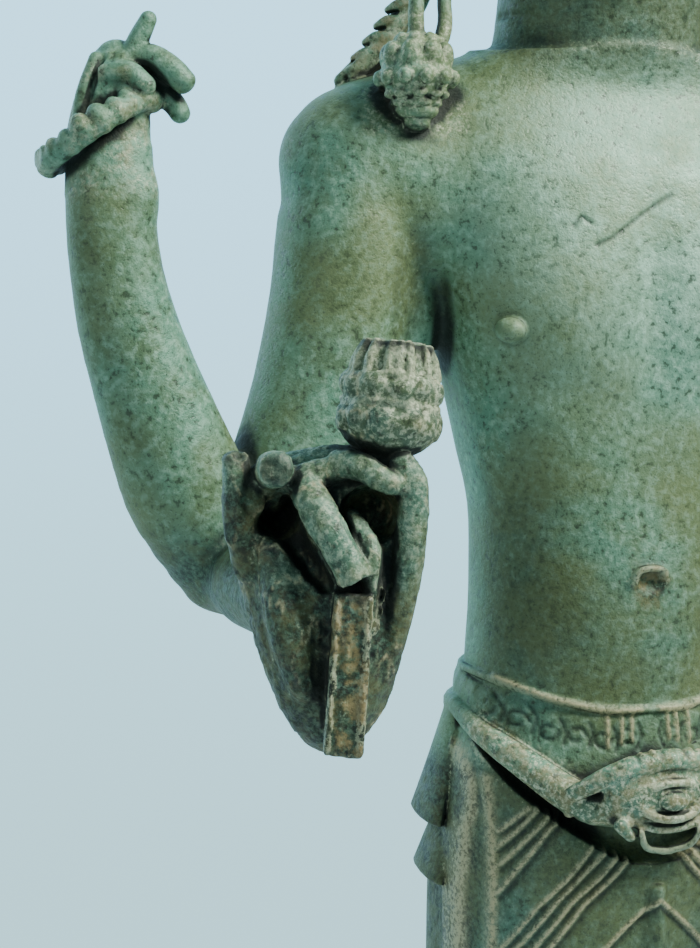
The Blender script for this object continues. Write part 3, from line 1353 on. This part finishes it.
def thin_out(piece, points, faces):
    """Fewer triangles where the surface is even, region by region."""
    region = regions(points)
    face_region = region[faces].min(axis=1)
    total = 2 * len(faces)
    for number, kept in enumerate(TRIANGLES):
        group = piece.vertex_groups.new(name=f"region_{number}")
        group.add(np.flatnonzero(region == number).tolist(), 1.0, "REPLACE")
        now = 2 * int((face_region == number).sum())
        target = total - max(now - kept, 0)
        thinning = piece.modifiers.new(f"thinning_{number}", "DECIMATE")
        thinning.ratio = min(1.0, target / total)
        thinning.use_collapse_triangulate = True
        thinning.vertex_group = group.name
        print("region", number, now, "->", kept)
        total = target
    shown = piece.evaluated_get(bpy.context.evaluated_depsgraph_get())
    thin = bpy.data.meshes.new_from_object(shown)
    mesh = piece.data
    piece.modifiers.clear()
    piece.vertex_groups.clear()
    thin.transform(Matrix.Scale(MM, 4))
    piece.data = thin
    bpy.data.meshes.remove(mesh)
    thin.name = "figure_cast"
    print("triangles kept:", len(thin.polygons))


ATTRIBUTES = ("hollow", "edge", "warm", "dark", "pale", "chest", "ridge", "groove")


def write_attributes(mesh):
    """What the patina follows, as a value from 0 to 1 at each point of the mesh."""
    count = len(mesh.vertices)
    points = np.empty(count * 3, np.float32)
    normals = np.empty(count * 3, np.float32)
    mesh.vertices.foreach_get("co", points)
    mesh.vertex_normals.foreach_get("vector", normals)
    points = points.reshape(-1, 3).astype(float) / MM
    normals = normals.reshape(-1, 3).astype(float)
    warm, dark, pale, chest = tones(points)
    hollow, edge = depth_and_edge(points, normals)
    ridge, groove = line_values(points)
    for name, value in zip(ATTRIBUTES, (hollow, edge, warm, dark, pale, chest, ridge, groove)):
        attribute = mesh.attributes.new(name, "FLOAT", "POINT")
        attribute.data.foreach_set("value", np.clip(value, 0, 1).astype(np.float32))
    mesh.polygons.foreach_set("use_smooth", np.ones(len(mesh.polygons), bool))


# Finish


class Nodes:
    """A small helper that adds nodes to a material or a world and joins them."""

    def __init__(self, owner):
        owner.use_nodes = True
        self.tree = owner.node_tree
        self.tree.nodes.clear()

    def add(self, kind, inputs=None, **settings):
        node = self.tree.nodes.new(kind)
        for name, value in settings.items():
            setattr(node, name, value)
        for name, value in (inputs or {}).items():
            if isinstance(value, bpy.types.NodeSocket):
                self.tree.links.new(value, node.inputs[name])
            else:
                node.inputs[name].default_value = value
        return node

    def attribute(self, name):
        return self.add("ShaderNodeAttribute", attribute_name=name).outputs["Fac"]

    def math(self, operation, a, b):
        return self.add("ShaderNodeMath", {0: a, 1: b}, operation=operation).outputs[0]

    def times(self, a, b):
        return self.math("MULTIPLY", a, b)

    def plus(self, a, b):
        return self.math("ADD", a, b)

    def noise(self, where, scale, detail, rough):
        inputs = {"Vector": where, "Scale": scale, "Detail": detail, "Roughness": rough}
        return self.add("ShaderNodeTexNoise", inputs).outputs["Fac"]

    def span(self, value, low, high, to_low=0.0, to_high=1.0):
        inputs = {"Value": value, "From Min": low, "From Max": high, "To Min": to_low, "To Max": to_high}
        return self.add("ShaderNodeMapRange", inputs, interpolation_type="SMOOTHSTEP").outputs["Result"]

    def blend(self, share, a, b):
        """A colour between a and b."""
        return self.add("ShaderNodeMix", {0: share, 6: a, 7: b}, data_type="RGBA").outputs[2]


def colour(red, green, blue):
    """A linear colour from the usual 0 to 255 values."""
    return tuple((v / 255) ** 2.2 for v in (red, green, blue)) + (1.0,)


def patina():
    material = bpy.data.materials.new("patinated_bronze")
    n = Nodes(material)
    where = n.add("ShaderNodeTexCoord").outputs["Object"]
    hollow, edge, warm, dark, pale, chest, ridge, groove = (n.attribute(name) for name in ATTRIBUTES)
    broad = n.noise(where, 36, 3, 0.5)
    middle = n.noise(where, 150, 4, 0.62)
    fine = n.noise(where, 640, 4, 0.62)
    flecks = n.noise(where, 1150, 5, 0.7)
    grain = n.noise(where, 1900, 3, 0.6)
    green = n.blend(n.span(broad, 0.36, 0.64), colour(104, 118, 78), colour(96, 138, 112))
    green = n.blend(n.times(n.span(middle, 0.44, 0.66), 0.6), green, colour(82, 98, 62))
    bloom = n.times(n.span(fine, 0.46, 0.7), n.span(broad, 0.3, 0.7, 0.2, 0.65))
    bloom = n.plus(bloom, n.times(chest, n.span(middle, 0.3, 0.7, 0.3, 1.0)))
    green = n.blend(bloom, green, colour(150, 186, 160))
    shade = n.blend(n.span(middle, 0.4, 0.6), colour(36, 42, 32), colour(74, 78, 50))
    tone = n.blend(n.times(dark, n.span(flecks, 0.4, 0.62, 1.0, 0.62)), green, shade)
    light = n.blend(n.span(flecks, 0.42, 0.6), colour(146, 156, 122), colour(206, 208, 174))
    crust = n.plus(n.times(flecks, 0.8), n.times(edge, 0.3))
    tone = n.blend(n.times(pale, n.span(crust, 0.36, 0.52)), tone, light)
    lime = n.times(n.span(n.plus(crust, n.times(ridge, 0.1)), 0.52, 0.62), dark)
    tone = n.blend(n.times(lime, 0.55), tone, colour(176, 178, 142))
    ochre = n.times(warm, n.span(n.noise(where, 300, 5, 0.7), 0.42, 0.6))
    tone = n.blend(ochre, tone, colour(138, 120, 80))
    drawn = n.times(ridge, n.span(flecks, 0.36, 0.56, 0.3, 0.85))
    tone = n.blend(drawn, tone, colour(176, 164, 124))
    sunk = n.times(groove, n.span(fine, 0.3, 0.6, 0.9, 0.6))
    deep = n.span(n.plus(hollow, n.span(fine, 0.2, 0.8, -0.08, 0.08)), 0.2, 0.56)
    tone = n.blend(n.math("MAXIMUM", n.times(deep, 0.93), sunk), tone, colour(24, 28, 24))
    specks = n.times(n.span(fine, 0.44, 0.33), n.span(broad, 0.3, 0.6, 0.35, 0.75))
    tone = n.blend(specks, tone, colour(48, 56, 42))
    tone = n.blend(n.times(n.span(grain, 0.42, 0.3), 0.5), tone, colour(38, 44, 34))
    rough = n.span(n.plus(fine, n.times(hollow, 0.4)), 0.3, 0.8, 0.4, 0.74)
    height = n.plus(n.times(fine, 0.65), n.times(grain, 0.35))
    deepest = 0.0005  # metres
    relief = n.add("ShaderNodeBump", {"Height": height, "Distance": deepest, "Strength": 0.7})
    look = {"Base Color": tone, "Roughness": rough, "Normal": relief.outputs["Normal"]}
    look.update({"Metallic": 0.15, "Specular IOR Level": 0.4})
    shader = n.add("ShaderNodeBsdfPrincipled", look)
    n.add("ShaderNodeOutputMaterial", {"Surface": shader.outputs["BSDF"]})
    return material


def plain(name, rgb, rough):
    material = bpy.data.materials.new(name)
    n = Nodes(material)
    shader = n.add("ShaderNodeBsdfPrincipled", {"Base Color": rgb, "Roughness": rough})
    n.add("ShaderNodeOutputMaterial", {"Surface": shader.outputs["BSDF"]})
    return material


# Floor, light and camera

SKY = dict(high=colour(146, 202, 228), low=colour(158, 202, 212), front=0.2, behind=2.7, above=0.3)
LIT_POINT = (-0.03, -0.02, 0.33)
# Name, place, size, power and colour, in metres and watts
LIGHTS = [
    ("key", (0.62, -0.6, 1.15), 0.4, 31, (0.95, 1, 0.97)),
    ("fill", (-0.9, -0.5, 0.5), 0.8, 2.8, (0.9, 0.97, 1)),
    ("rim", (-0.8, 0.7, 0.7), 0.7, 2.5, (0.85, 0.96, 1)),
]
# The photograph's own view, from measured points of the figure: degrees and millimetres
VIEW = dict(azimuth=-18, elevation=4.5, target=(-47.55, 15.45, 313), distance=410, lens=77.85, sensor=36)


def build_floor():
    bpy.ops.mesh.primitive_circle_add(vertices=96, radius=0.6, fill_type="NGON", location=(0, 0, 0))
    floor = bpy.context.object
    floor.name = "floor"
    floor.data.materials.append(plain("pale_floor", colour(205, 214, 218), 0.8))


def place_object(name, data, place, back):
    """An object at a place that looks away from back, with its own Y as near up as can be."""
    back = np.array(back, float) / np.linalg.norm(back)
    right = np.cross(UP, back)
    right /= np.linalg.norm(right)
    holder = bpy.data.objects.new(name, data)
    bpy.context.scene.collection.objects.link(holder)
    turn = Matrix(np.array([right, np.cross(back, right), back]).T.tolist()).to_4x4()
    holder.matrix_world = Matrix.Translation(place) @ turn
    return holder


def area_light(name, place, size, power, rgb):
    light = bpy.data.lights.new(name, "AREA")
    light.size = size
    light.energy = power
    light.color = rgb
    place_object(name, light, place, np.array(place, float) - np.array(LIT_POINT, float))


def build_lights():
    """A soft studio: pale behind the figure and above it, dimmer in front, with three broad lights."""
    world = bpy.data.worlds.new("studio")
    n = Nodes(world)
    where = n.add("ShaderNodeTexCoord").outputs["Generated"]
    way = n.add("ShaderNodeSeparateXYZ", {"Vector": where}).outputs
    behind = n.span(way["Y"], 0.1, 0.9, SKY["front"], SKY["behind"])
    above = n.span(way["Z"], -0.2, 0.9, 0.0, SKY["above"])
    fade = n.span(way["Z"], -0.3, 0.16, 0.78, 1.1)
    strength = n.plus(n.times(behind, fade), above)
    tint = n.blend(n.span(way["Z"], -0.3, 0.16), SKY["low"], SKY["high"])
    sky = n.add("ShaderNodeBackground", {"Color": tint, "Strength": strength})
    n.add("ShaderNodeOutputWorld", {"Surface": sky.outputs["Background"]})
    bpy.context.scene.world = world
    for row in LIGHTS:
        area_light(*row)


def build_camera():
    azimuth, elevation = radians(VIEW["azimuth"]), radians(VIEW["elevation"])
    level = cos(elevation)
    back = np.array([sin(azimuth) * level, -cos(azimuth) * level, sin(elevation)])
    camera = bpy.data.cameras.new("camera")
    camera.lens = VIEW["lens"]
    camera.sensor_width = VIEW["sensor"]
    camera.clip_start = 0.01
    place = np.array(VIEW["target"]) * MM + back * VIEW["distance"] * MM
    bpy.context.scene.camera = place_object("camera", camera, place, back)


piece = build_mesh()
write_attributes(piece.data)
piece.data.materials.append(patina())
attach(piece, "root")
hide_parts("figure")
build_floor()
build_lights()
build_camera()
